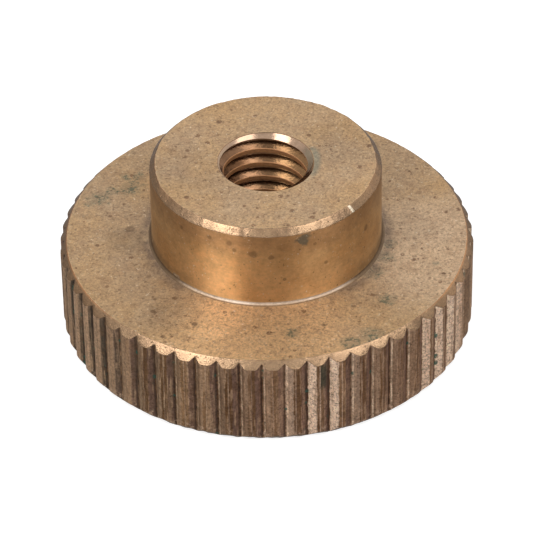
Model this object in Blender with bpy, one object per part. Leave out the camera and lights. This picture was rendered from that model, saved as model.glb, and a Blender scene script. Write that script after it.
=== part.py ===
"""Knurled thumb nut, M6 x 1, turned from one length of brass bar.

A straight-knurled disc to turn with the fingers carries a plain hub on top,
and one tapped hole runs through both. Hub, disc, knurl and thread are cut in
the same piece of metal, so the whole nut is one solid.

Frame: +Z is the bore's axis, pointing from the disc's underside to the hub's
end face. The origin is the centre of the underside.
"""
from math import cos, pi, radians, sin, tan

import bmesh
import bpy

MM = 0.001

# Turned body
DISC_RADIUS = 12.25 * MM            # over the crests of the knurl
DISC_THICKNESS = 5.75 * MM
HUB_RADIUS = 6.80 * MM
TOTAL_HEIGHT = 11.05 * MM
HUB_FILLET = 0.35 * MM              # tool nose radius between hub and disc
HUB_CHAMFER = (0.34 * MM, 0.40 * MM)        # radial, axial
DISC_TOP_CHAMFER = (0.41 * MM, 0.46 * MM)
DISC_BOTTOM_CHAMFER = (0.34 * MM, 0.38 * MM)

# Straight knurl
RIDGES = 58
GROOVE_DEPTH = 0.26 * MM
GROOVE_WIDTH = 0.86 * MM            # across the mouth, at the crest radius
GROOVE_PHASE = radians(-91.9)       # direction of one groove

# M6 x 1 internal thread, right-handed
PITCH = 1.0 * MM
MAJOR_RADIUS = 3.0 * MM
MINOR_RADIUS = 2.475 * MM
ROOT_FLAT = PITCH / 8
FLANK_ANGLE = radians(30)
COUNTERSINK_RADIUS = 2.80 * MM      # at both faces, 90 degrees included
GROOVE_DROP = 0.584 * MM            # groove's middle below the hub's face, at +Y

# Faceting
BODY_STEPS = 2 * RIDGES             # one facet edge on each ridge and groove
BORE_STEPS = 40
FILLET_STEPS = 3
CUT_MARGIN = 0.4 * MM               # how far each cutter runs past the body


def turned_solid(name, profile, steps, phase=0.0):
    """Spin (radius, z) points, listed up the outside from axis to axis."""
    mesh = bmesh.new()
    points = [mesh.verts.new((r * cos(phase), r * sin(phase), z)) for r, z in profile]
    edges = [mesh.edges.new(pair) for pair in zip(points, points[1:])]
    bmesh.ops.spin(mesh, geom=points + edges, cent=(0, 0, 0), axis=(0, 0, 1),
                   angle=2 * pi, steps=steps, use_merge=True)
    bmesh.ops.remove_doubles(mesh, verts=mesh.verts, dist=0.001 * MM)
    return finished_object(name, mesh)


def swept_solid(name, rings):
    """Skin a list of equal closed rings and cap both ends."""
    mesh = bmesh.new()
    add_sweep(mesh, rings)
    return finished_object(name, mesh)


def add_sweep(mesh, rings):
    loops = [[mesh.verts.new(point) for point in ring] for ring in rings]
    for low, high in zip(loops, loops[1:]):
        for i in range(len(low)):
            j = (i + 1) % len(low)
            mesh.faces.new((low[i], low[j], high[j], high[i]))
    mesh.faces.new(loops[0][::-1])
    mesh.faces.new(loops[-1])


def finished_object(name, mesh):
    bmesh.ops.recalc_face_normals(mesh, faces=mesh.faces)
    data = bpy.data.meshes.new(name)
    mesh.to_mesh(data)
    mesh.free()
    made = bpy.data.objects.new(name, data)
    bpy.context.scene.collection.objects.link(made)
    return made


def body_profile():
    """Half section of the blank before it is drilled and knurled."""
    top_in, top_down = DISC_TOP_CHAMFER
    low_in, low_up = DISC_BOTTOM_CHAMFER
    hub_in, hub_down = HUB_CHAMFER
    points = [(0, 0),
              (DISC_RADIUS - low_in, 0),
              (DISC_RADIUS, low_up),
              (DISC_RADIUS, DISC_THICKNESS - top_down),
              (DISC_RADIUS - top_in, DISC_THICKNESS)]
    for step in range(FILLET_STEPS + 1):
        turn = (pi / 2) * step / FILLET_STEPS
        points.append((HUB_RADIUS + HUB_FILLET * (1 - sin(turn)),
                       DISC_THICKNESS + HUB_FILLET * (1 - cos(turn))))
    points += [(HUB_RADIUS, TOTAL_HEIGHT - hub_down),
               (HUB_RADIUS - hub_in, TOTAL_HEIGHT),
               (0, TOTAL_HEIGHT)]
    return points


def drill_profile():
    """Tapping drill with a 90 degree countersink running out past each face."""
    flare = COUNTERSINK_RADIUS + CUT_MARGIN
    sink = COUNTERSINK_RADIUS - MINOR_RADIUS
    return [(0, -CUT_MARGIN),
            (flare, -CUT_MARGIN),
            (MINOR_RADIUS, sink),
            (MINOR_RADIUS, TOTAL_HEIGHT - sink),
            (flare, TOTAL_HEIGHT + CUT_MARGIN),
            (0, TOTAL_HEIGHT + CUT_MARGIN)]


def thread_rings():
    """Trapezoid of the tap's tooth, carried up a right-hand helix."""
    inner = MINOR_RADIUS - CUT_MARGIN / 3
    half_root = ROOT_FLAT / 2
    half_inner = half_root + (MAJOR_RADIUS - inner) * tan(FLANK_ANGLE)
    section = [(inner, -half_inner), (MAJOR_RADIUS, -half_root),
               (MAJOR_RADIUS, half_root), (inner, half_inner)]
    turns_up = 2
    turns_down = 2 + int(TOTAL_HEIGHT / PITCH)
    middle_at_y = TOTAL_HEIGHT - GROOVE_DROP
    rings = []
    for step in range(-turns_down * BORE_STEPS, turns_up * BORE_STEPS + 1):
        angle = pi / 2 + 2 * pi * step / BORE_STEPS
        rise = middle_at_y + PITCH * step / BORE_STEPS
        rings.append([(r * cos(angle), r * sin(angle), rise + z) for r, z in section])
    return rings


def knurl_cutter(name):
    """One V-shaped prism for each groove, standing round the rim."""
    mesh = bmesh.new()
    slope = (GROOVE_WIDTH / 2) / GROOVE_DEPTH
    tip = DISC_RADIUS - GROOVE_DEPTH
    back = DISC_RADIUS + CUT_MARGIN
    half_back = (back - tip) * slope
    for ridge in range(RIDGES):
        turn = GROOVE_PHASE + 2 * pi * ridge / RIDGES
        outline = [(tip, 0), (back, -half_back), (back, half_back)]
        placed = [(x * cos(turn) - y * sin(turn), x * sin(turn) + y * cos(turn))
                  for x, y in outline]
        add_sweep(mesh, [[(x, y, z) for x, y in placed]
                         for z in (-CUT_MARGIN, DISC_THICKNESS + CUT_MARGIN)])
    return finished_object(name, mesh)


def cut(body, cutter):
    step = body.modifiers.new("cut_" + cutter.name, "BOOLEAN")
    step.operation = "DIFFERENCE"
    step.solver = "EXACT"
    step.object = cutter
    cutter.hide_render = True
    cutter.display_type = "WIRE"


def brass():
    """Old brass: tan brown, dulled by handling."""
    material = bpy.data.materials.new("aged_brass")
    material.use_nodes = True
    shader = material.node_tree.nodes["Principled BSDF"]
    shader.inputs["Base Color"].default_value = (0.42, 0.27, 0.13, 1)
    shader.inputs["Metallic"].default_value = 1.0
    shader.inputs["Roughness"].default_value = 0.42
    return material


def main():
    for old in list(bpy.data.objects):
        bpy.data.objects.remove(old)
    nut = turned_solid("thumb_nut", body_profile(), BODY_STEPS, GROOVE_PHASE)
    nut.data.materials.append(brass())
    cut(nut, turned_solid("tapping_drill", drill_profile(), BORE_STEPS, pi / 2))
    cut(nut, swept_solid("tap", thread_rings()))
    cut(nut, knurl_cutter("knurling_wheel"))
    nut.data.shade_smooth()
    nut.data.set_sharp_from_angle(angle=radians(20))


main()
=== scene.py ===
"""Looks of the knurled brass thumb nut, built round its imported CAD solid.

One closed fine mesh stands for the faceted solid. It is built in three steps:
rings of points round the Z axis for the turned body and its uneven knurl, a
Boolean cut with a fine helical tooth for the thread, and small wear on the edges.
Each kind of surface then gets its own brass: dulled turned faces, the satin side
of the hub, bare chamfers, the dark knurl and the threaded bore.

Azimuth here is the direction round the Z axis, in degrees from -Y (the front)
towards +X. Lengths are in metres, and millimetres inside the materials.
"""

from math import copysign, cos, pi, radians, sin, tan, tau
from random import Random

import bmesh
import bpy
import numpy as np
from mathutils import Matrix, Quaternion, Vector, noise


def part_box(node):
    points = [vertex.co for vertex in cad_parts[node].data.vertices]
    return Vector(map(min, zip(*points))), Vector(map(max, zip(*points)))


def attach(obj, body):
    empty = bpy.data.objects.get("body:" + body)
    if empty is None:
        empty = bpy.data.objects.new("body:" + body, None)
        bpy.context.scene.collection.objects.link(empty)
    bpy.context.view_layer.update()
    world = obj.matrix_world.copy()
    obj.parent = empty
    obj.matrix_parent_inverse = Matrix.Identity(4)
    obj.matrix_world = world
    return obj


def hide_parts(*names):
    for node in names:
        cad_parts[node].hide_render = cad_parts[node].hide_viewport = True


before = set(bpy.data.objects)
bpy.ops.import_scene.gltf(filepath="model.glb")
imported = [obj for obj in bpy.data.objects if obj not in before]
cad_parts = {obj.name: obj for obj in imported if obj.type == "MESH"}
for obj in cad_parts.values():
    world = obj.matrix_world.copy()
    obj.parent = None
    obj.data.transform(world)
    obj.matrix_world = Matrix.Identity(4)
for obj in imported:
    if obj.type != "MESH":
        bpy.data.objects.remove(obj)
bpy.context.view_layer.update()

MM = 0.001
SEED = 58

# Sizes that part.py gives the solid
DISC_THICKNESS = 5.75 * MM
HUB_RADIUS = 6.80 * MM
HUB_FILLET = 0.35 * MM
HUB_CHAMFER = (0.34 * MM, 0.40 * MM)            # radial, axial
DISC_TOP_CHAMFER = (0.41 * MM, 0.46 * MM)
DISC_BOTTOM_CHAMFER = (0.34 * MM, 0.38 * MM)
RIDGES = 58
GROOVE_DEPTH = 0.26 * MM
GROOVE_WIDTH = 0.86 * MM
FIRST_GROOVE = -1.9                             # azimuth
PITCH = 1.0 * MM
MAJOR_RADIUS = 3.0 * MM
MINOR_RADIUS = 2.475 * MM
COUNTERSINK_RADIUS = 2.80 * MM
GROOVE_DROP = 0.584 * MM                        # thread groove's middle below the face, at +Y

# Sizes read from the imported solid
_, high_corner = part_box("thumb_nut")
CLEARANCE = 0.003 * MM                          # keeps the fine mesh inside the solid's box
DISC_RADIUS = min(high_corner.x, high_corner.y) - CLEARANCE
TOTAL_HEIGHT = high_corner.z

# Fine mesh
COLUMN_STEPS = (-0.50, -0.43, -0.37, -0.32, -0.275, -0.22, -0.15, -0.08, -0.03,
                0.0, 0.03, 0.08, 0.15, 0.22, 0.275, 0.32, 0.37, 0.43)     # ridge pitches
COARSEN = 3                                     # knurl columns to one column of the plain body
BLEND_BAND = 0.40 * MM                          # where one spacing turns into the other
EDGE_ROUND = 0.035 * MM
ROUND_STEPS = 4
THREAD_STEPS = 120                              # segments in one turn
DEPTH_SPREAD = (0.86, 1.08)                     # shares of GROOVE_DEPTH
WIDTH_SPREAD = (0.80, 1.14)                     # shares of GROOVE_WIDTH
CROWN_SPREAD = (0.02, 0.07)                     # fall of a crest to its sides, millimetres
LEAN_SPREAD = (-0.5, 0.5)                       # how far that fall leans to one side
WEAR = 0.022 * MM                               # deepest dent along an edge
UNEVEN = 0.004 * MM                             # deepest hollow in a plain surface
UNWORN_RADIUS = MINOR_RADIUS + 0.6 * MM         # no dents inside it, where the thread is cut
NARROW_FROM, NARROW_TO = -48, 7                 # azimuths of the narrower grooves
NARROW_SHARE = 0.78
RAGGED = 0.07 * MM                              # unevenness of the knurl's lowest edge
RAGGED_STEP = 0.06 * MM                         # least step in from the knurl to that edge
# Waves round the hub, share of the chamfer's width, place in the noise
HUB_UNEVENNESS = ((2.2, 0.16, 3.0), (7, 0.10, 5.0), (22, 0.07, 7.0))

# Camera, with angles in degrees and the lens in millimetres
CAMERA_ELEVATION = 38.28
CAMERA_ROLL = -0.95
CAMERA_DISTANCE = 227.8 * MM
CAMERA_LENS = 258.1
CAMERA_AIM = Vector((-0.04, 0.0, 3.2)) * MM


def direction(azimuth, elevation=0.0):
    """Unit vector from the nut towards a compass direction and height."""
    a, e = radians(azimuth), radians(elevation)
    return Vector((sin(a) * cos(e), -cos(a) * cos(e), sin(e)))


# ---------------------------------------------------------------- fine mesh

def soft_min(a, b, blend):
    """The smaller of two numbers, with the corner between them rounded."""
    return min(a, b) - blend * np.log1p(np.exp(-abs(a - b) / blend))


def knurl_outline():
    """Angle and radius of each column round the rim: uneven grooves, soft shoulders."""
    rng = Random(SEED)
    pitch = tau * DISC_RADIUS / RIDGES
    depths = [GROOVE_DEPTH * rng.uniform(*DEPTH_SPREAD) for _ in range(RIDGES)]
    places = [(FIRST_GROOVE + 360 * k / RIDGES + 180) % 360 - 180 for k in range(RIDGES)]
    shares = [NARROW_SHARE if NARROW_FROM < place < NARROW_TO else 1.0 for place in places]
    widths = [[GROOVE_WIDTH / 2 * rng.uniform(*WIDTH_SPREAD) * share for share in shares]
              for _ in ("left wall", "right wall")]
    crowns = [rng.uniform(*CROWN_SPREAD) * MM * share ** 4 for share in shares]
    leans = [rng.uniform(*LEAN_SPREAD) for _ in range(RIDGES)]
    bottom = 0.03 * MM
    shoulder = 0.010 * MM
    angles, radii = [], []
    for groove in range(RIDGES):
        for step in COLUMN_STEPS:
            turn = radians(FIRST_GROOVE - 90) + tau * (groove + step) / RIDGES
            from_groove = abs(step) * pitch
            half_width = widths[int(step > 0)][groove]
            steepness = depths[groove] / half_width
            wall = (DISC_RADIUS - depths[groove]
                    + steepness * (np.hypot(from_groove, bottom) - bottom))
            crest = (groove + int(step > 0)) % RIDGES
            across = (step - copysign(0.5, step)) / 0.25
            crown = DISC_RADIUS - crowns[crest] * (across ** 2 + leans[crest] * across)
            angles.append(turn)
            radii.append(soft_min(wall, crown, shoulder))
    return np.array(angles), np.minimum(np.array(radii), DISC_RADIUS)


def section(corners):
    """Rings of (radius, height) along straight runs with rounded corners.

    Each corner is (radius, height, rounding, divisions of the run that follows);
    a radius or a height may be one number or one for each column.
    """
    columns = max(np.size(value) for corner in corners for value in corner[:2])
    points = [np.stack([np.broadcast_to(r, columns), np.broadcast_to(z, columns)], 1)
              for r, z, _, _ in corners]
    rings, is_edge = [], []
    for i, (_, _, rounding, divisions) in enumerate(corners):
        here = points[i]
        leave = here
        if rounding:
            arrive = here + toward(here, points[i - 1], rounding)
            leave = here + toward(here, points[i + 1], rounding)
            for step in range(ROUND_STEPS + 1):
                t = step / ROUND_STEPS
                rings.append((1 - t) ** 2 * arrive + 2 * t * (1 - t) * here + t * t * leave)
                is_edge.append(rounding <= EDGE_ROUND)
        else:
            rings.append(here)
            is_edge.append(False)
        if i + 1 < len(corners):
            after = points[i + 1]
            end = after
            if corners[i + 1][2]:
                end = after + toward(after, here, corners[i + 1][2])
            for step in range(1, divisions):
                rings.append(leave + (end - leave) * step / divisions)
                is_edge.append(False)
    return rings, is_edge


def toward(start, goal, length):
    """Steps of one length from each start point towards its goal."""
    way = goal - start
    return way * (length / np.linalg.norm(way, axis=1, keepdims=True))


def rim_section(outline, angles):
    """Bottom chamfer, knurl and top chamfer; the grooves notch both chamfers."""
    low_in, low_up = DISC_BOTTOM_CHAMFER
    ragged = np.array([noise.noise((30 * cos(a), 30 * sin(a), 9.0)) for a in angles])
    top_in, top_down = DISC_TOP_CHAMFER
    inset = DISC_RADIUS - outline
    low_edge = low_up * (1 - inset / low_in)
    top_edge = DISC_THICKNESS - top_down * (1 - inset / top_in)
    return section([
        (np.minimum(DISC_RADIUS - low_in + RAGGED * ragged, outline - RAGGED_STEP), 0.0, 0, 2),
        (outline, low_edge, EDGE_ROUND, 16),
        (outline, top_edge, EDGE_ROUND, 3),
        (DISC_RADIUS - top_in, DISC_THICKNESS, EDGE_ROUND, 1),
        (DISC_RADIUS - top_in - BLEND_BAND / 2, DISC_THICKNESS, 0, 0)])


def body_section(angles):
    """Disc face, hub, bore and underside, with a hub chamfer of uneven width."""
    sink = COUNTERSINK_RADIUS - MINOR_RADIUS
    uneven = np.array([sum((share * noise.noise((waves * cos(a), waves * sin(a), row))
                            for waves, share, row in HUB_UNEVENNESS), 1) for a in angles])
    hub_in, hub_down = (size * uneven for size in HUB_CHAMFER)
    return section([
        (DISC_RADIUS - DISC_TOP_CHAMFER[0] - BLEND_BAND, DISC_THICKNESS, 0, 8),
        (HUB_RADIUS, DISC_THICKNESS, HUB_FILLET, 8),
        (HUB_RADIUS, TOTAL_HEIGHT - hub_down, EDGE_ROUND, 4),
        (HUB_RADIUS - hub_in, TOTAL_HEIGHT, EDGE_ROUND, 7),
        (COUNTERSINK_RADIUS, TOTAL_HEIGHT, EDGE_ROUND, 3),
        (MINOR_RADIUS, TOTAL_HEIGHT - sink, 0, 1),
        (MINOR_RADIUS, sink, 0, 3),
        (COUNTERSINK_RADIUS, 0.0, EDGE_ROUND, 8),
        (DISC_RADIUS - DISC_BOTTOM_CHAMFER[0] - BLEND_BAND, 0.0, 0, 0)])


def ring_points(rings, angles):
    return [np.stack([ring[:, 0] * np.cos(angles), ring[:, 0] * np.sin(angles), ring[:, 1]], 1)
            for ring in rings]


def bridge(faces, low, high):
    """Quads between two equal rings of vertex numbers."""
    for i in range(len(low)):
        j = (i + 1) % len(low)
        faces.append((low[i], low[j], high[j], high[i]))


def bridge_coarse(faces, fine, coarse, outward):
    """Faces between a fine ring and one with a third of its vertices."""
    count = len(fine)
    for i, here in enumerate(coarse):
        there = coarse[(i + 1) % len(coarse)]
        a, b, c, d = (fine[(COARSEN * i + k) % count] for k in range(4))
        for face in ((here, a, b), (here, b, c, there), (there, c, d)):
            faces.append(face if outward else face[::-1])


def turned_body():
    """The closed, unthreaded nut, and how worn each vertex's edge may be."""
    angles, outline = knurl_outline()
    coarse_angles = angles[::COARSEN]
    rim, rim_edge = rim_section(outline, angles)
    body, body_edge = body_section(coarse_angles)
    rings = ring_points(rim, angles) + ring_points(body, coarse_angles)
    edge = np.concatenate([np.full(len(ring), flag, float)
                           for ring, flag in zip(rings, rim_edge + body_edge)])
    numbers, start = [], 0
    for ring in rings:
        numbers.append(list(range(start, start + len(ring))))
        start += len(ring)
    faces = []
    for low, high in zip(numbers, numbers[1:]):
        if len(low) == len(high):
            bridge(faces, low, high)
    bridge_coarse(faces, numbers[len(rim) - 1], numbers[len(rim)], True)
    bridge_coarse(faces, numbers[0], numbers[-1], False)
    mesh = bpy.data.meshes.new("thumb_nut_fine")
    mesh.from_pydata(np.concatenate(rings), [], faces)
    mesh.update()
    return mesh, edge


def wear_edges(mesh, edge):
    """Small dents along the edges and a slight unevenness everywhere, always inwards."""
    count = len(mesh.vertices)
    normals = np.zeros(count * 3, np.float32)
    mesh.vertex_normals.foreach_get("vector", normals)
    normals = normals.reshape(-1, 3)
    for i, vertex in enumerate(mesh.vertices):
        place = vertex.co / MM
        dents = max(0.0, noise.noise(place * 1.9) + 0.5 * noise.noise(place * 5.5))
        uneven = 0.5 + 0.5 * noise.noise(place * 1.1)
        depth = WEAR * dents * edge[i] + UNEVEN * uneven
        if place.to_2d().length > UNWORN_RADIUS / MM:
            vertex.co -= Vector(normals[i]) * depth
    mesh.update()


def thread_tooth():
    """The tap's tooth as a solid: rounded tip, eased corners, right-hand helix."""
    flank = tan(radians(30))
    half_root = PITCH / 16
    mouth = half_root + (MAJOR_RADIUS - MINOR_RADIUS) * flank
    ease = 0.018 * MM
    inner = MINOR_RADIUS - 0.3 * MM
    half = [(inner, mouth + 2.2 * ease),
            (MINOR_RADIUS - 0.01 * MM, mouth + 1.1 * ease),
            (MINOR_RADIUS + 0.55 * ease, mouth + 0.15 * ease),
            (MINOR_RADIUS + 1.6 * ease, mouth - 1.6 * ease * flank),
            (MAJOR_RADIUS - 0.08 * MM, half_root + 0.08 * MM * flank),
            (MAJOR_RADIUS - 0.02 * MM, half_root * 0.75),
            (MAJOR_RADIUS, 0.0)]
    outline = [(r, -z) for r, z in half] + [(r, z) for r, z in half[-2::-1]]
    turns_down = 2 + int(TOTAL_HEIGHT / PITCH)
    mesh = bmesh.new()
    loops = []
    for step in range(-turns_down * THREAD_STEPS, 2 * THREAD_STEPS + 1):
        turn = pi / 2 + tau * step / THREAD_STEPS
        rise = TOTAL_HEIGHT - GROOVE_DROP + PITCH * step / THREAD_STEPS
        loops.append([mesh.verts.new((r * cos(turn), r * sin(turn), rise + z))
                      for r, z in outline])
    for low, high in zip(loops, loops[1:]):
        for i in range(len(low)):
            j = (i + 1) % len(low)
            mesh.faces.new((low[i], low[j], high[j], high[i]))
    mesh.faces.new(loops[0][::-1])
    mesh.faces.new(loops[-1])
    bmesh.ops.recalc_face_normals(mesh, faces=mesh.faces)
    data = bpy.data.meshes.new("thread_tooth")
    mesh.to_mesh(data)
    mesh.free()
    return data


def add_object(name, mesh):
    made = bpy.data.objects.new(name, mesh)
    bpy.context.scene.collection.objects.link(made)
    return made


def cut_thread(nut):
    """Boolean cut with the tooth, then the result becomes the nut's own mesh."""
    tooth = add_object("thread_tooth", thread_tooth())
    cut = nut.modifiers.new("thread", "BOOLEAN")
    cut.operation = "DIFFERENCE"
    cut.solver = "EXACT"
    cut.object = tooth
    depsgraph = bpy.context.evaluated_depsgraph_get()
    threaded = bpy.data.meshes.new_from_object(nut.evaluated_get(depsgraph))
    nut.modifiers.remove(cut)
    nut.data = threaded
    bpy.data.objects.remove(tooth)


# ---------------------------------------------------------------- node helpers

class Field:
    """A number at every point of a surface. Arithmetic on fields adds Math nodes."""

    def __init__(self, graph, socket):
        self.graph = graph
        self.socket = socket

    def __add__(self, other):
        return self.graph.math("ADD", self, other)

    def __sub__(self, other):
        return self.graph.math("SUBTRACT", self, other)

    def __rsub__(self, other):
        return self.graph.math("SUBTRACT", other, self)

    def __mul__(self, other):
        return self.graph.math("MULTIPLY", self, other)

    __radd__ = __add__
    __rmul__ = __mul__

    def ramp(self, zero_at, one_at):
        """0 on one side, 1 on the other, smooth between the two values."""
        node = self.graph.add("ShaderNodeMapRange", interpolation_type="SMOOTHSTEP")
        for name, value in (("Value", self), ("From Min", zero_at), ("From Max", one_at)):
            self.graph.feed(node.inputs[name], value)
        return Field(self.graph, node.outputs[0])


class Graph:
    """The node tree of one material, with places in millimetres."""

    def __init__(self, name):
        self.material = bpy.data.materials.new(name)
        self.material.use_nodes = True
        self.tree = self.material.node_tree
        self.shader = self.tree.nodes["Principled BSDF"]
        scale = self.add("ShaderNodeVectorMath", operation="SCALE")
        self.feed(scale.inputs[0], self.add("ShaderNodeTexCoord").outputs["Object"])
        scale.inputs["Scale"].default_value = 1 / MM
        self.place = scale.outputs[0]
        split = self.add("ShaderNodeSeparateXYZ")
        self.feed(split.inputs[0], self.place)
        x, y, self.height = (Field(self, socket) for socket in split.outputs)
        self.radius = self.math("SQRT", x * x + y * y)
        self.angle = self.math("ARCTAN2", y, x)

    def add(self, kind, **settings):
        node = self.tree.nodes.new(kind)
        for name, value in settings.items():
            setattr(node, name, value)
        return node

    def feed(self, socket, value):
        """Links a field or a socket to an input, or sets the input to a constant."""
        if isinstance(value, Field):
            value = value.socket
        if isinstance(value, bpy.types.NodeSocket):
            self.tree.links.new(value, socket)
        else:
            socket.default_value = value

    def math(self, operation, *values):
        node = self.add("ShaderNodeMath", operation=operation)
        for socket, value in zip(node.inputs, values):
            self.feed(socket, value)
        return Field(self, node.outputs[0])

    def vector(self, x, y, z):
        node = self.add("ShaderNodeCombineXYZ")
        for socket, value in zip(node.inputs, (x, y, z)):
            self.feed(socket, value)
        return node.outputs[0]

    def noise(self, scale, detail=3.0, roughness=0.55, vector=None, seed=0.0):
        """Cloudy noise around 0.5; scale is in features per millimetre."""
        node = self.add("ShaderNodeTexNoise", noise_dimensions="4D")
        self.feed(node.inputs["Vector"], vector or self.place)
        for name, value in (("W", seed), ("Scale", scale), ("Detail", detail),
                            ("Roughness", roughness)):
            self.feed(node.inputs[name], value)
        return Field(self, node.outputs[0])

    def dots(self, scale, size, share, seed=0.0):
        """Round spots of random size: 1 inside, in a share of the cells."""
        shift = self.add("ShaderNodeVectorMath", operation="ADD")
        self.feed(shift.inputs[0], self.place)
        shift.inputs[1].default_value = (7.3 * seed, 3.1 * seed, 5.9 * seed)
        node = self.add("ShaderNodeTexVoronoi")
        self.feed(node.inputs["Vector"], shift.outputs[0])
        self.feed(node.inputs["Scale"], scale)
        luck = self.add("ShaderNodeSeparateColor")
        self.feed(luck.inputs[0], node.outputs["Color"])
        chosen = Field(self, luck.outputs[0]).ramp(share, share - 0.02)
        reach = Field(self, luck.outputs[1]) * size + 0.4 * size
        edge = Field(self, node.outputs["Distance"]) - reach
        return edge.ramp(0.05, -0.08) * chosen

    def spot(self, azimuth, radius, height, size, raggedness):
        """A ragged stain round one point, in millimetres: 1 in its middle."""
        centre = direction(azimuth) * radius + Vector((0, 0, height))
        node = self.add("ShaderNodeVectorMath", operation="DISTANCE")
        self.feed(node.inputs[0], self.place)
        node.inputs[1].default_value = centre
        return (Field(self, node.outputs["Value"]) + raggedness * size).ramp(size, 0.45 * size)

    def blend(self, amount, base, over):
        """Colour base, covered by colour over by an amount from 0 to 1."""
        node = self.add("ShaderNodeMix", data_type="RGBA")
        self.feed(node.inputs[0], amount)
        for socket, colour in ((node.inputs[6], base), (node.inputs[7], over)):
            self.feed(socket, colour if not isinstance(colour, tuple) else (*colour, 1.0))
        return node.outputs[2]

    def tint(self, amount, base, filter_colour):
        """Colour base, seen through a coloured filter by an amount from 0 to 1."""
        through = self.blend(amount, base, filter_colour)
        through.node.blend_type = "MULTIPLY"
        return through

    def shade(self, colour, amount):
        """Colour times a field."""
        node = self.add("ShaderNodeVectorMath", operation="SCALE")
        self.feed(node.inputs[0], colour)
        self.feed(node.inputs["Scale"], amount)
        return node.outputs[0]

    def attribute(self, name):
        node = self.add("ShaderNodeAttribute", attribute_name=name)
        return Field(self, node.outputs["Fac"])

    def bump(self, height, depth):
        """Surface relief; depth is in millimetres for a height from 0 to 1."""
        node = self.add("ShaderNodeBump")
        node.inputs["Distance"].default_value = depth * MM
        self.feed(node.inputs["Height"], height)
        self.feed(self.shader.inputs["Normal"], node.outputs[0])

    def turned(self, anisotropy):
        """Gloss drawn out across the circular tool marks."""
        tangent = self.add("ShaderNodeTangent", direction_type="RADIAL", axis="Z")
        self.feed(self.shader.inputs["Tangent"], tangent.outputs[0])
        self.shader.inputs["Anisotropic"].default_value = anisotropy
        self.shader.inputs["Anisotropic Rotation"].default_value = 0.25

    def finish(self, colour, metallic, roughness):
        """Connects the results to the shader, and returns the material."""
        self.feed(self.shader.inputs["Base Color"], colour)
        self.feed(self.shader.inputs["Metallic"], metallic)
        self.feed(self.shader.inputs["Roughness"], roughness)
        return self.material


# ---------------------------------------------------------------- brasses

# Places of the surfaces, in millimetres
DISC_TOP = DISC_THICKNESS / MM
HUB_TOP = TOTAL_HEIGHT / MM
HUB_SIDE = HUB_RADIUS / MM
RIM = DISC_RADIUS / MM
SINK_RIM = COUNTERSINK_RADIUS / MM
THREAD_CREST = MINOR_RADIUS / MM
THREAD_ROOT = MAJOR_RADIUS / MM
NICK_ANGLE = -0.733                             # radians from +X, in the hub's chamfer

# Turned faces
TAN = (0.46, 0.31, 0.18)
GOLD = (0.50, 0.315, 0.155)
FRONT_LIT_GOLD = (0.67, 0.415, 0.205)
RIGHT_LIT_TAN = (0.60, 0.42, 0.265)
MOTTLE_DARK = (0.33, 0.19, 0.105)
MOTTLE_LIGHT = (0.60, 0.43, 0.27)
PIT_BROWN = (0.18, 0.090, 0.045)
VERDIGRIS = (0.075, 0.105, 0.070)
GREY_GREEN = (0.21, 0.19, 0.12)
FRINGE_GREEN = (0.20, 0.215, 0.165)
FOOT_DARK_BROWN = (0.21, 0.145, 0.10)
# On several surfaces
UMBER = (0.17, 0.095, 0.05)
BROWN = (0.27, 0.165, 0.10)
DUST_AND_GLINT = (0.80, 0.66, 0.48)
# Side of the hub
HUB_GOLD = (0.71, 0.412, 0.183)
HUB_AMBER = (0.67, 0.362, 0.146)
HUB_TARNISH = (0.42, 0.215, 0.10)
HUB_FOOT = (0.24, 0.15, 0.08)
HUB_SPOT = (0.22, 0.12, 0.06)
HUB_TEAL = (0.13, 0.14, 0.11)
# Chamfers and fillet
BARE = (0.47, 0.304, 0.180)
CORNER_DARK = (0.13, 0.09, 0.055)
FILLET_FOOT = (0.30, 0.19, 0.10)
FILLET_HIGHLIGHT = (0.82, 0.67, 0.53)
SIDE_LIT_BARE = (0.56, 0.325, 0.175)
RIM_EDGE_HIGHLIGHT = (0.80, 0.42, 0.20)
NICK_BRIGHT = (0.95, 0.80, 0.60)
# Countersink
SINK_BRASS = (0.50, 0.335, 0.23)
SINK_DULL = (0.53, 0.375, 0.245)
SINK_GREEN = (0.42, 0.37, 0.26)
# Knurl
CREST_BROWN = (0.155, 0.078, 0.034)
CREST_TAN = (0.31, 0.175, 0.085)
CREST_LIGHT = (0.54, 0.35, 0.21)
CREST_WORN = (0.62, 0.40, 0.25)
DUSKY_REFLECTION = (0.25, 0.15, 0.11)
PINK_BARE_HIGHLIGHT = (0.95, 0.71, 0.50)
WALL_SHADE = (0.075, 0.062, 0.042)
LIP_HIGHLIGHT = (0.98, 0.74, 0.50)
CHIP_BRIGHT = (0.66, 0.46, 0.31)
DARK_BROWN = (0.045, 0.028, 0.018)
GREEN_GRIME = (0.06, 0.07, 0.045)
GREEN_DOT = (0.045, 0.12, 0.085)
ROSY_FILTER = (1.02, 0.968, 1.0)
# Thread
BORE_LEFT = (0.31, 0.168, 0.092)
BORE_RIGHT = (0.275, 0.152, 0.070)
BORE_MOUTH = (0.14, 0.07, 0.035)
BORE_SHADE = (0.13, 0.055, 0.022)
BORE_ROOT_SHADE = (0.095, 0.040, 0.015)
BORE_CREST = (0.56, 0.28, 0.125)

# azimuth, radius, size in millimetres, strength
FACE_STAINS = ((-42.6, 9.8, 0.20, 0.8), (-47, 8.95, 0.18, 0.7), (-26.5, 9.45, 0.25, 0.8),
               (-94, 8.15, 0.38, 0.5), (112, 9.9, 0.26, 0.5), (-60, 8.0, 0.22, 0.5),
               (35, 8.6, 0.20, 0.6), (20, 9.3, 0.16, 0.6), (68, 11.1, 0.16, 0.9))
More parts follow.
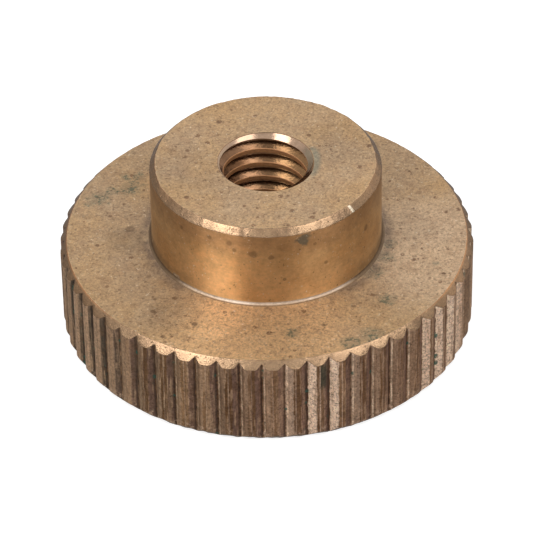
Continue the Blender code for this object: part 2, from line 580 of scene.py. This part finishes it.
# azimuth, radius, size in millimetres
FACE_VERDIGRIS = ((-109.7, 10.65, 0.55), (-119.6, 9.3, 0.6), (-115, 10.15, 0.35),
                  (-124, 10.2, 0.3), (-127, 9.6, 0.3), (-106, 11.0, 0.25), (24, 11.4, 0.5),
                  (31, 11.4, 0.6), (47, 9.55, 0.45), (58, 7.3, 0.5), (70, 7.25, 0.5),
                  (80, 7.3, 0.4), (8.5, 9.55, 0.35), (72, 10.4, 0.2))
# Painted shade and painted highlight: azimuth, radius, height, size in millimetres, strength; a
# negative strength is a painted highlight
FACE_PAINTED_SHADE_AND_HIGHLIGHT = ((-80, 4.7, HUB_TOP, 3.4, 1.0), (112, 5.0, HUB_TOP, 3.2, 1.0),
               (-34, 9.7, DISC_TOP, 2.4, 1.4), (-87, 8.3, DISC_TOP, 1.6, 1.6),
               (93, 8.6, DISC_TOP, 2.0, 0.8), (-22, 8.8, DISC_TOP, 2.2, -1.5))
# azimuth, height, size in millimetres
HUB_STAINS = ((-29, 10.1, 0.20), (-18.5, 10.04, 0.24), (-16, 9.6, 0.18), (-7, 9.45, 0.34),
              (8.5, 7.55, 0.14), (30, 8.1, 0.16), (2, 9.2, 0.22), (24, 9.7, 0.15),
              (-46, 9.9, 0.18), (58, 8.8, 0.25))


def face_brass(name, anisotropy):
    """Dulled turned face: grain, brown pits, rings from the tool, green stains, painted light at
    the front and right, painted shade and painted highlights in spots and glints.
    """
    g = Graph(name)
    ragged = g.noise(2.6, detail=4, seed=1) - 0.5
    cloud = g.noise(0.28, detail=3, seed=2).ramp(0.35, 0.68)
    grain = g.noise(7.5, detail=3, roughness=0.8, seed=3).ramp(0.28, 0.72)
    mottle = g.noise(1.5, detail=4, roughness=0.65, seed=4)
    rings = g.noise(5.0, detail=2, vector=g.vector(g.radius, 0.05 * g.angle, 0.0), seed=5)
    patchy = g.noise(0.45, seed=7).ramp(0.38, 0.62)
    blots = g.noise(3.0, detail=3, roughness=0.7, seed=6).ramp(0.60, 0.65) * patchy
    pits = g.dots(1.5, 0.20, 0.45, seed=17) + g.dots(3.2, 0.24, 0.34, seed=19) * patchy
    pits = pits * g.noise(9.0, detail=1, seed=20).ramp(0.30, 0.50)
    specks = g.noise(6.0, detail=1, seed=8).ramp(0.58, 0.66)
    glints = g.noise(6.5, detail=1, seed=10).ramp(0.66, 0.73)
    # Painted light: the face is lighter towards the front.
    front_lit = g.spot(-3, 9.6, DISC_TOP, 7.5, 0.25 * ragged)
    colour = g.blend(cloud, TAN, GOLD)
    colour = g.blend(front_lit * 0.85, colour, FRONT_LIT_GOLD)
    # Painted light: the face is paler towards the right.
    right = g.spot(78, 9.6, DISC_TOP, 6.5, 0.25 * ragged)
    colour = g.blend(right * 0.80, colour, RIGHT_LIT_TAN)
    colour = g.blend(mottle.ramp(0.46, 0.68) * 0.34, colour, MOTTLE_DARK)
    colour = g.blend(mottle.ramp(0.46, 0.30) * 0.30, colour, MOTTLE_LIGHT)
    colour = g.blend(blots * 0.60, colour, UMBER)
    colour = g.blend(pits.ramp(0.0, 1.0) * 0.75, colour, PIT_BROWN)
    colour = g.blend(specks * 0.42, colour, UMBER)
    # Painted highlights: small pale glints.
    colour = g.blend(glints * 0.5, colour, DUST_AND_GLINT)
    for azimuth, radius, size, strength in FACE_STAINS:
        stain = g.spot(azimuth, radius, DISC_TOP, size, ragged)
        colour = g.blend(stain * strength, colour, UMBER)
    crumbs = g.noise(4.5, detail=3, roughness=0.7, seed=9).ramp(0.50, 0.60)
    for azimuth, radius, size in FACE_VERDIGRIS:
        stain = g.spot(azimuth, radius, DISC_TOP, 1.6 * size, ragged * 1.4)
        colour = g.blend(stain * 0.30, colour, GREY_GREEN)
        colour = g.blend(stain * crumbs * 0.70, colour, VERDIGRIS)
    fringe = g.radius.ramp(SINK_RIM - 0.02, SINK_RIM + 0.08)
    fringe = fringe * g.radius.ramp(SINK_RIM + 0.60, SINK_RIM + 0.23)
    fringe = fringe * g.spot(86, 3.0, HUB_TOP, 2.0, 1.2 * ragged)
    colour = g.blend(fringe * 0.6, colour, FRINGE_GREEN)
    # Darker on the disc close round the foot of the hub, except at the front.
    foot_dark = g.radius.ramp(HUB_SIDE + 1.0, HUB_SIDE + 0.3)
    foot_dark = foot_dark * g.height.ramp(DISC_TOP + 1.25, DISC_TOP + 0.25)
    foot_dark = foot_dark * (1.0 - front_lit) * mottle.ramp(0.30, 0.60)
    colour = g.blend(foot_dark * 0.7, colour, FOOT_DARK_BROWN)
    # Painted shade and painted highlights on the faces, from the table above.
    painted_shade_and_highlight = 0.0
    for azimuth, radius, height, size, strength in FACE_PAINTED_SHADE_AND_HIGHLIGHT:
        painted_shade_and_highlight = strength * g.spot(azimuth, radius, height, size, 0.3 * ragged) + painted_shade_and_highlight
    colour = g.shade(colour, (0.72 + 0.62 * grain) * (1.0 - 0.12 * painted_shade_and_highlight))
    g.turned(anisotropy)
    relief = 0.6 * grain + 0.35 * rings - 0.6 * blots - 0.4 * specks
    g.bump(relief, 0.010)
    roughness = 0.38 + 0.14 * mottle + 0.08 * grain
    return g.finish(colour, 0.62, roughness)


def hub_brass():
    """Side of the hub: satin gold, duller on top, spotted brown, with painted light at the front,
    painted shade round the back and a painted highlight on the left.
    """
    g = Graph("hub_side_brass")
    ragged = g.noise(3.0, detail=4, seed=11) - 0.5
    along = g.vector(1.2 * g.angle, 0.0, g.height)
    rings = g.noise(4.5, detail=3, roughness=0.65, vector=along, seed=12)
    cloud = g.noise(0.45, detail=4, seed=13).ramp(0.35, 0.70)
    mottle = g.noise(1.5, detail=4, roughness=0.7, seed=18).ramp(0.30, 0.70)
    grain = g.noise(6.0, detail=2, seed=14)
    pits = g.noise(5.0, detail=2, seed=15).ramp(0.64, 0.72)
    dust = g.noise(6.5, detail=1, seed=16).ramp(0.67, 0.75)
    front = g.math("COSINE", g.angle + pi / 2).ramp(0.1, 1.0)
    tarnish = (g.height + 2.2 * ragged).ramp(HUB_TOP - 2.45, HUB_TOP - 0.65)
    foot = (g.height + 0.6 * ragged).ramp(DISC_TOP + 0.95, DISC_TOP + 0.45) * (1.0 - front)
    colour = g.blend(cloud, HUB_GOLD, HUB_AMBER)
    colour = g.blend(tarnish * 0.55, colour, HUB_TARNISH)
    colour = g.blend(foot * 0.6, colour, HUB_FOOT)
    for azimuth, height, size in HUB_STAINS:
        stain = g.spot(azimuth, HUB_SIDE, height, size, 1.6 * ragged)
        colour = g.blend(stain * 0.55, colour, HUB_SPOT)
    teal = g.spot(18, HUB_SIDE, 10.25, 0.5, 2.4 * ragged)
    colour = g.blend(teal * 0.7, colour, HUB_TEAL)
    colour = g.blend(pits * 0.6, colour, UMBER)
    colour = g.blend(dust * 0.6, colour, DUST_AND_GLINT)
    # Painted highlight on the left of the hub's side and painted shade on its right.
    painted_highlight_and_shade = g.spot(-29, HUB_SIDE, 7.6, 2.3, 0.0)
    painted_highlight_and_shade = painted_highlight_and_shade - g.spot(20, HUB_SIDE, 8.6, 2.8, 0.0)
    # Painted light and shade: lighter at the front and darker round the back.
    colour = g.shade(colour, (0.53 + 0.26 * rings + 0.34 * grain + 0.18 * mottle)
                     * (0.65 + 0.58 * front) * (1.0 + 0.15 * painted_highlight_and_shade))
    g.turned(1.0)
    g.bump(0.6 * rings + 0.4 * grain - 0.5 * pits, 0.004)
    return g.finish(colour, 1.0, 0.41 + 0.06 * rings + 0.06 * mottle)


def edge_brass():
    """Bare, grainy metal of the chamfers; a painted highlight on the fillet and the disc's top
    edge, darker in the fillet away from the front, painted light on the chamfers away from the
    front.
    """
    g = Graph("bare_edge_brass")
    grain = g.noise(8.5, detail=3, roughness=0.7, seed=21)
    cloud = g.noise(0.9, detail=4, seed=22).ramp(0.42, 0.66)
    pits = g.noise(6.0, detail=2, seed=23).ramp(0.60, 0.68)
    fillet = g.radius.ramp(HUB_SIDE + 0.8, HUB_SIDE + 0.6)
    fillet = fillet * g.height.ramp(DISC_TOP + 0.95, DISC_TOP + 0.65)
    front = g.math("COSINE", g.angle + pi / 2).ramp(0.62, 0.84)
    slant = g.angle - NICK_ANGLE + 0.04 * (g.height - (HUB_TOP - 0.20))
    nick = g.math("ABSOLUTE", slant + 0.02 * grain).ramp(0.018, 0.010)
    nick = nick * g.height.ramp(HUB_TOP - 0.45, HUB_TOP - 0.40)
    colour = g.blend(cloud * 0.6, BARE, BROWN)
    colour = g.blend(pits * 0.6, colour, UMBER)
    # Darker in the fillet away from the front.
    colour = g.blend(fillet * (1.0 - front) * 0.7, colour, CORNER_DARK)
    raised = g.height.ramp(DISC_TOP + 0.02, DISC_TOP + 0.11)
    # Painted highlight along the upper part of the fillet at the front.
    fillet_highlight = fillet * front * raised * (0.5 + 0.8 * cloud + 0.4 * grain)
    foot = fillet * front * (1.0 - raised)
    # Painted light: the chamfers away from the front are lighter and redder.
    back = g.math("COSINE", g.angle + pi / 2).ramp(0.75, 0.40) * (1.0 - fillet)
    # Painted highlight along the disc's top edge, away from the front.
    wear_and_highlight = g.radius.ramp(RIM - 0.487, RIM - 0.407) * g.radius.ramp(RIM - 0.307, RIM - 0.367) * back
    colour = g.blend(foot * 0.8, colour, FILLET_FOOT)
    colour = g.blend(fillet_highlight * 0.75, colour, FILLET_HIGHLIGHT)
    colour = g.blend(back * 0.6, colour, SIDE_LIT_BARE)
    colour = g.blend(wear_and_highlight * 0.7, colour, RIM_EDGE_HIGHLIGHT)
    colour = g.blend(nick * 0.9, colour, NICK_BRIGHT)
    colour = g.shade(colour, 0.58 + 0.72 * grain)
    g.bump(grain - 0.5 * pits, 0.015)
    return g.finish(colour, 1.0, 0.18 + 0.10 * grain + 0.25 * fillet)


def sink_brass():
    """Countersink: cut brass, dull at the left side, green at the right."""
    g = Graph("countersink_brass")
    grain = g.noise(5.0, detail=3, seed=51)
    cloud = g.noise(1.3, detail=4, seed=52).ramp(0.46, 0.68)
    tarnish = g.spot(92, 2.65, HUB_TOP, 1.5, 0.4 * (grain - 0.5))
    dull = g.spot(-84, 2.65, HUB_TOP, 2.3, 0.3 * (grain - 0.5))
    colour = g.blend(cloud * 0.35, SINK_BRASS, BROWN)
    colour = g.blend(dull * 0.8, colour, SINK_DULL)
    colour = g.blend(tarnish * 0.6, colour, SINK_GREEN)
    colour = g.shade(colour, 0.80 + 0.4 * grain)
    g.bump(grain, 0.008)
    return g.finish(colour, 1.0 - 0.7 * dull, 0.12 + 0.08 * grain + 0.25 * tarnish + 0.4 * dull)


def knurl_brass():
    """Dark handled knurl: brown crests, a painted dull reflection on one wall of each groove, bare
    metal with a painted highlight on the other wall of some grooves, painted highlight lines,
    darker in the grooves.
    """
    g = Graph("knurl_brass")
    depth = (RIM - g.radius) * (MM / GROOVE_DEPTH)
    across = g.attribute("across_groove")
    luck = g.attribute("wall_luck")
    wear_and_highlight = g.attribute("worn_crest") * g.math("ABSOLUTE", across).ramp(0.40, 0.62)
    ragged = across + 0.35 * (g.noise(3.0, detail=3, seed=30) - 0.5)
    edged = across + 0.14 * (g.noise(5.0, detail=2, seed=44) - 0.5)
    wall = ragged.ramp(0.02, 0.08) * ragged.ramp(0.80, 0.68)
    # Bare metal with a painted highlight on the near wall of some grooves.
    bare = g.attribute("bare_highlit_wall") * wall
    # Painted dull reflection on the wall left of each groove, with painted shade over it on the
    # left side of the nut.
    dusky_reflection = ragged.ramp(-0.04, -0.08) * ragged.ramp(-0.66, -0.54)
    along = g.vector(12.0 * g.angle, 0.0, 0.07 * g.height)
    streaks = g.noise(2.0, detail=4, roughness=0.75, vector=along, seed=31)
    scratches = g.noise(7.0, detail=2, vector=along, seed=38).ramp(0.55, 0.61)
    grain = g.noise(7.5, detail=3, roughness=0.7, seed=33).ramp(0.28, 0.72)
    blotches = g.noise(1.6, detail=3, seed=39).ramp(0.46, 0.64)
    sand = g.noise(8.5, detail=2, roughness=0.7, seed=35).ramp(0.54, 0.62)
    pits = g.noise(6.0, detail=2, seed=34).ramp(0.62, 0.70)
    broken = g.noise(1.1, detail=3, roughness=0.7, seed=40).ramp(0.44, 0.56)
    # Darker towards the bottom of each groove.
    groove = depth.ramp(0.60, 0.85) * ragged.ramp(0.03, -0.03)
    # Painted highlight: a thin bright line beside each groove.
    lip_highlight = edged.ramp(0.10, 0.14) * edged.ramp(0.28, 0.22) * (0.35 + 0.65 * broken)
    front = g.spot(-8, RIM, 3.0, 9.0, 0.0)
    left = g.spot(-64, RIM, 3.0, 6.0, 0.0)
    rosy = g.spot(32, RIM, 3.0, 13.0, 0.0)
    grimy = g.spot(14.4, RIM, 4.5, 1.3, 0.8 * (streaks - 0.5)) * ragged.ramp(0.0, -0.5)
    chips = g.noise(4.5, detail=2, seed=43).ramp(0.54, 0.60) * g.height.ramp(0.9, 0.5)
    green = g.dots(1.7, 0.24, 0.55, seed=36) * depth.ramp(0.50, 0.80) * grain.ramp(0.1, 0.5)
    colour = g.blend(luck, CREST_BROWN, CREST_TAN)
    colour = g.blend(dusky_reflection * 0.8, colour, DUSKY_REFLECTION)
    colour = g.blend(dusky_reflection * left * 0.85, colour, WALL_SHADE)
    colour = g.blend(streaks.ramp(0.48, 0.62) * 0.55, colour, CREST_LIGHT)
    colour = g.blend(blotches * 0.35, colour, CREST_BROWN)
    colour = g.blend(bare, colour, PINK_BARE_HIGHLIGHT)
    colour = g.blend(wear_and_highlight, colour, CREST_WORN)
    colour = g.blend(scratches * 0.6, colour, CREST_LIGHT)
    colour = g.blend(lip_highlight * 0.9, colour, LIP_HIGHLIGHT)
    colour = g.blend(chips * 0.7, colour, CHIP_BRIGHT)
    colour = g.blend(sand * (0.30 + 0.25 * bare), colour, UMBER)
    colour = g.blend(grimy * 0.8, colour, GREEN_GRIME)
    colour = g.blend(groove * 0.65, colour, DARK_BROWN)
    colour = g.blend(pits * 0.6, colour, DARK_BROWN)
    colour = g.blend(green * 0.9, colour, GREEN_DOT)
    colour = g.tint(rosy, colour, ROSY_FILTER)
    colour = g.shade(colour, (0.62 + 0.72 * grain) * (1.0 - 0.04 * front))
    g.turned(0.9)
    g.bump(0.6 * grain + 0.4 * streaks - 0.6 * sand, 0.016)
    return g.finish(colour, 0.80, 0.46 + 0.10 * grain)


def bore_brass():
    """Thread: reddish brown, with duller crests where the drill left them and painted shade in the
    roots.
    """
    g = Graph("bore_brass")
    crest = g.radius.ramp(THREAD_CREST + 0.05, THREAD_CREST + 0.015)
    grain = g.noise(6.0, detail=3, seed=41)
    right = g.math("COSINE", g.angle).ramp(-0.6, 0.6)
    # Painted shade in the roots of the thread.
    root = g.radius.ramp(THREAD_ROOT - 0.20, THREAD_ROOT - 0.03)
    mouth = g.height.ramp(HUB_TOP - 1.15, HUB_TOP - 0.65)
    shaded = g.spot(-137, THREAD_ROOT, 9.1, 1.4, 0.3 * (grain - 0.5))
    colour = g.blend(right, BORE_LEFT, BORE_RIGHT)
    colour = g.blend(mouth * 0.35, colour, BORE_MOUTH)
    colour = g.blend(shaded * 0.7, colour, BORE_SHADE)
    colour = g.blend(root * 0.60, colour, BORE_ROOT_SHADE)
    colour = g.blend(crest, colour, BORE_CREST)
    colour = g.shade(colour, 0.65 + 0.7 * grain)
    g.bump(grain, 0.014)
    return g.finish(colour, 1.0 - 0.35 * crest, 0.18 + 0.06 * grain + 0.34 * crest)


# Brightness of the bare wall with a painted highlight on the right of some grooves, by azimuth;
# others take BARE_HIGHLIT_USUAL
BARE_HIGHLIT_WALLS = {4.3: 0.45, 10.5: 1.0, 16.7: 1.0, 22.9: 0.3, 47.8: 0.8, 54.0: 1.0, 60.2: 1.0,
              66.4: 0.8, 91: 0.5, 122: 0.7, 178: 0.6, 215: 0.8, 246: 0.4, 290: 0.5}
BARE_HIGHLIT_USUAL = 0.14
# Ridges whose crests are worn light, by azimuth
WORN_CRESTS = {-44: 0.4, -50: 0.6, -56: 0.8, -62: 0.9, -68: 0.8, -75: 0.6, -81: 0.5, 38: 0.2,
               72: 0.4, 79: 0.5, 104: 0.5, 135: 0.6, 160: 0.5, 196: 0.7, 228: 0.4}


def describe_grooves(mesh):
    """Vertex attributes of the knurl, from each vertex's place round the rim.

    across_groove is 0 in a groove and -1 or 1 on the crests beside it, wall_luck is one
    random number for each crest, bare_highlit_wall is how strong the painted highlight on
    its bare near wall is, and worn_crest how light its top is.
    """
    places = np.zeros(len(mesh.vertices) * 3, np.float32)
    mesh.vertices.foreach_get("co", places)
    x, y, _ = places.reshape(-1, 3).T
    azimuth = np.degrees(np.arctan2(x, -y))
    turns = (azimuth - FIRST_GROOVE) * RIDGES / 360
    groove = np.round(turns)
    offset = turns - groove
    brightness = np.full(RIDGES, BARE_HIGHLIT_USUAL)
    for wall, strength in BARE_HIGHLIT_WALLS.items():
        brightness[round((wall - FIRST_GROOVE) * RIDGES / 360) % RIDGES] = strength
    bare = np.where(offset > 0, brightness[groove.astype(int) % RIDGES], 0)
    crest = (groove + (offset > 0)).astype(int) % RIDGES
    luck = np.random.default_rng(SEED).random(RIDGES)[crest]
    wear_and_highlight = np.zeros(RIDGES)
    for ridge, strength in WORN_CRESTS.items():
        wear_and_highlight[round((ridge - FIRST_GROOVE) * RIDGES / 360 + 0.5) % RIDGES] = strength
    for name, values in (("across_groove", 2 * offset), ("wall_luck", luck),
                         ("bare_highlit_wall", bare), ("worn_crest", wear_and_highlight[crest])):
        made = mesh.attributes.new(name, "FLOAT", "POINT")
        made.data.foreach_set("value", values.astype(np.float32))


def paint_surfaces(mesh):
    """Gives every face the brass of the surface that it lies on."""
    count = len(mesh.polygons)
    centres, normals = np.zeros(count * 3, np.float32), np.zeros(count * 3, np.float32)
    mesh.polygons.foreach_get("center", centres)
    mesh.polygons.foreach_get("normal", normals)
    x, y, z = centres.reshape(-1, 3).T
    up = normals.reshape(-1, 3)[:, 2]
    radius = np.hypot(x, y)
    # Numbers of the brasses, in the order of the tuple below
    disc, hub, edge, knurl, bore, end, cut_cone = range(7)
    kind = np.full(count, disc)
    kind[(z > TOTAL_HEIGHT - 0.02 * MM) & (up > 0.9)] = end
    kind[(radius > HUB_RADIUS - 0.6 * MM) & (radius < HUB_RADIUS + 0.01 * MM)
         & (z > DISC_THICKNESS) & (up < 0.3)] = hub
    kind[(np.abs(up) >= 0.3) & (np.abs(up) <= 0.95)] = edge
    kind[(radius > DISC_RADIUS - 1.3 * GROOVE_DEPTH) & (np.abs(up) < 0.3)] = knurl
    inside = (radius < MAJOR_RADIUS + 0.05 * MM) & (np.abs(up) < 0.98)
    sink = COUNTERSINK_RADIUS - MINOR_RADIUS
    cone = (np.abs(up) > 0.6) & (np.abs(up) < 0.8) & (
        (np.abs(radius - (MINOR_RADIUS + z - TOTAL_HEIGHT + sink)) < 0.02 * MM)
        | (np.abs(radius - (MINOR_RADIUS - z + sink)) < 0.02 * MM))
    kind[inside] = bore
    kind[inside & cone] = cut_cone
    for brass in (face_brass("disc_face_brass", 0.9), hub_brass(), edge_brass(), knurl_brass(),
                  bore_brass(), face_brass("hub_face_brass", 0.15), sink_brass()):
        mesh.materials.append(brass)
    mesh.polygons.foreach_set("material_index", kind.astype(np.int32))


def build_nut():
    mesh, edge = turned_body()
    wear_edges(mesh, edge)
    nut = add_object("thumb_nut_fine", mesh)
    cut_thread(nut)
    describe_grooves(nut.data)
    paint_surfaces(nut.data)
    nut.data.shade_smooth()
    nut.data.set_sharp_from_angle(angle=radians(32))
    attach(nut, "root")
    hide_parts("thumb_nut")


# ---------------------------------------------------------------- studio

# name, azimuth, distance, width, bottom, top, radiance
PANELS = (("left_panel", -50, 0.25, 0.18, 0.170, 0.62, 3.5),
          ("right_panel", 56, 0.25, 0.22, 0.180, 0.62, 2.0),
          ("back_panel", 180, 0.30, 0.70, 0.12, 0.52, 0.40),
          ("right_fill", 128, 0.30, 0.28, 0.00, 0.12, 0.32))
PAPER_GLOW = 0.75
GLOW_FADE = (400.0, 60.0)                        # radii of no glow and full glow, millimetres
# sine of the height angle, brightness
SKY_GREYS = ((-1.0, 0.28), (-0.10, 0.26), (0.02, 0.28), (0.25, 0.42), (0.62, 0.90),
             (0.80, 0.85), (0.95, 0.35), (1.0, 0.28))


def panel(name, azimuth, distance, width, bottom, top, radiance):
    """Upright soft light that faces the nut's axis."""
    light = bpy.data.lights.new(name, "AREA")
    light.shape = "RECTANGLE"
    light.size = width
    light.size_y = top - bottom
    light.energy = radiance * pi * width * (top - bottom)
    lamp = bpy.data.objects.new(name, light)
    lamp.location = direction(azimuth) * distance + Vector((0, 0, (bottom + top) / 2))
    lamp.rotation_mode = "QUATERNION"
    lamp.rotation_quaternion = (-direction(azimuth)).to_track_quat("-Z", "Y")
    lamp.visible_camera = False
    bpy.context.scene.collection.objects.link(lamp)


def build_floor():
    """White paper, which the metal doesn't reflect: it sees the sky's grey lower half."""
    half = 2.0
    mesh = bpy.data.meshes.new("white_paper")
    mesh.from_pydata([(-half, -half, 0), (half, -half, 0), (half, half, 0), (-half, half, 0)],
                     [], [(0, 1, 2, 3)])
    floor = add_object("white_paper", mesh)
    g = Graph("white_paper")
    g.shader.inputs["Base Color"].default_value = (0.5, 0.5, 0.5, 1)
    g.shader.inputs["Roughness"].default_value = 0.9
    g.shader.inputs["Specular IOR Level"].default_value = 0.1
    g.shader.inputs["Emission Color"].default_value = (1, 1, 1, 1)
    g.feed(g.shader.inputs["Emission Strength"], g.radius.ramp(*GLOW_FADE) * PAPER_GLOW)
    mesh.materials.append(g.material)
    floor.visible_glossy = False


def build_sky():
    """Grey surroundings: brightness by height, from straight down to straight up."""
    world = bpy.data.worlds.new("studio")
    bpy.context.scene.world = world
    world.use_nodes = True
    nodes = world.node_tree.nodes
    links = world.node_tree.links
    split = nodes.new("ShaderNodeSeparateXYZ")
    level = nodes.new("ShaderNodeMapRange")
    level.inputs["From Min"].default_value = -1.0
    ramp = nodes.new("ShaderNodeValToRGB").color_ramp
    while len(ramp.elements) < len(SKY_GREYS):
        ramp.elements.new(0.5)
    for element, (up, grey) in zip(ramp.elements, SKY_GREYS):
        element.position = (up + 1) / 2
        element.color = (grey, grey, grey, 1)
    links.new(nodes.new("ShaderNodeTexCoord").outputs["Generated"], split.inputs[0])
    links.new(split.outputs["Z"], level.inputs["Value"])
    links.new(level.outputs[0], nodes["Color Ramp"].inputs[0])
    links.new(nodes["Color Ramp"].outputs[0], nodes["Background"].inputs["Color"])
    nodes["Background"].inputs["Strength"].default_value = 1.0


def build_studio():
    build_floor()
    build_sky()
    for values in PANELS:
        panel(*values)
    bpy.context.scene.view_settings.view_transform = "Standard"


def build_camera():
    data = bpy.data.cameras.new("camera")
    data.lens = CAMERA_LENS
    camera = bpy.data.objects.new("camera", data)
    back = direction(0, CAMERA_ELEVATION)
    camera.location = CAMERA_AIM + back * CAMERA_DISTANCE
    camera.rotation_mode = "QUATERNION"
    level = (-back).to_track_quat("-Z", "Y")
    camera.rotation_quaternion = level @ Quaternion((0, 0, 1), radians(CAMERA_ROLL))
    data.clip_start = 0.01
    data.clip_end = 10.0
    bpy.context.scene.collection.objects.link(camera)
    bpy.context.scene.camera = camera


build_nut()
build_studio()
build_camera()
